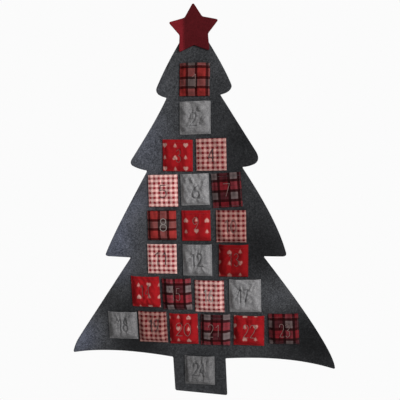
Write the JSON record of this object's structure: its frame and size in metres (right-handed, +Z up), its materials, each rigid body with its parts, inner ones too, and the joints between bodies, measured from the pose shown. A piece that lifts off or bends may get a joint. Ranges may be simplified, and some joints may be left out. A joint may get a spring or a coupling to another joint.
{
  "type": "wall advent calendar",
  "caption": "Felt fir-tree wall hanging with a red star and rows of small numbered cloth pockets, open at the top, for a daily sweet.",
  "frame": {"origin": "the hanging point: the top of the hole in the tab behind the star, where the nail carries the calendar", "axes": "+Z up, -Y out of the front of the calendar, +X to the right as seen from the front"},
  "size_m": [0.6829, 0.0153, 0.9957],
  "materials": {
    "tree_felt": "matt heathered felt, dark grey",
    "star_felt": "matt felt, deep red",
    "grey_felt": "soft mottled felt, light grey",
    "red_print": "woven cotton, red with small pale hearts and firs",
    "gingham": "woven cotton, red and cream check",
    "tartan": "woven cotton, red, black and grey tartan",
    "dark_tartan": "woven cotton, dark red and black tartan",
    "light_thread": "pale grey sewing thread",
    "dark_thread": "dark grey sewing thread"
  },
  "bodies": {
    "calendar": {"number_01": "light_thread", "number_02": "dark_thread", "number_03": "light_thread", "number_04": "light_thread", "number_05": "light_thread", "number_06": "dark_thread", "number_07": "light_thread", "number_08": "light_thread", "number_09": "light_thread", "number_10": "light_thread", "number_11": "light_thread", "number_12": "dark_thread", "number_13": "light_thread", "number_14": "light_thread", "number_15": "light_thread", "number_16": "light_thread", "number_17": "dark_thread", "number_18": "dark_thread", "number_19": "light_thread", "number_20": "light_thread", "number_21": "light_thread", "number_22": "light_thread", "number_23": "light_thread", "number_24": "dark_thread", "pocket_01": "tartan", "pocket_02": "grey_felt", "pocket_03": "red_print", "pocket_04": "gingham", "pocket_05": "gingham", "pocket_06": "grey_felt", "pocket_07": "dark_tartan", "pocket_08": "tartan", "pocket_09": "red_print", "pocket_10": "gingham", "pocket_11": "gingham", "pocket_12": "grey_felt", "pocket_13": "red_print", "pocket_14": "red_print", "pocket_15": "dark_tartan", "pocket_16": "gingham", "pocket_17": "grey_felt", "pocket_18": "grey_felt", "pocket_19": "gingham", "pocket_20": "red_print", "pocket_21": "dark_tartan", "pocket_22": "red_print", "pocket_23": "dark_tartan", "pocket_24": "grey_felt", "star": "star_felt", "tree_panel": "tree_felt"},
    "tab": {"hanging_tab": "tree_felt"}
  },
  "joints": [
    {"name": "tab_fold", "type": "hinge", "parent": "calendar", "child": "tab", "pos_m": [0, 0, -0.0282], "axis": [-1, 0, 0], "range_deg": [0, 90]}
  ]
}
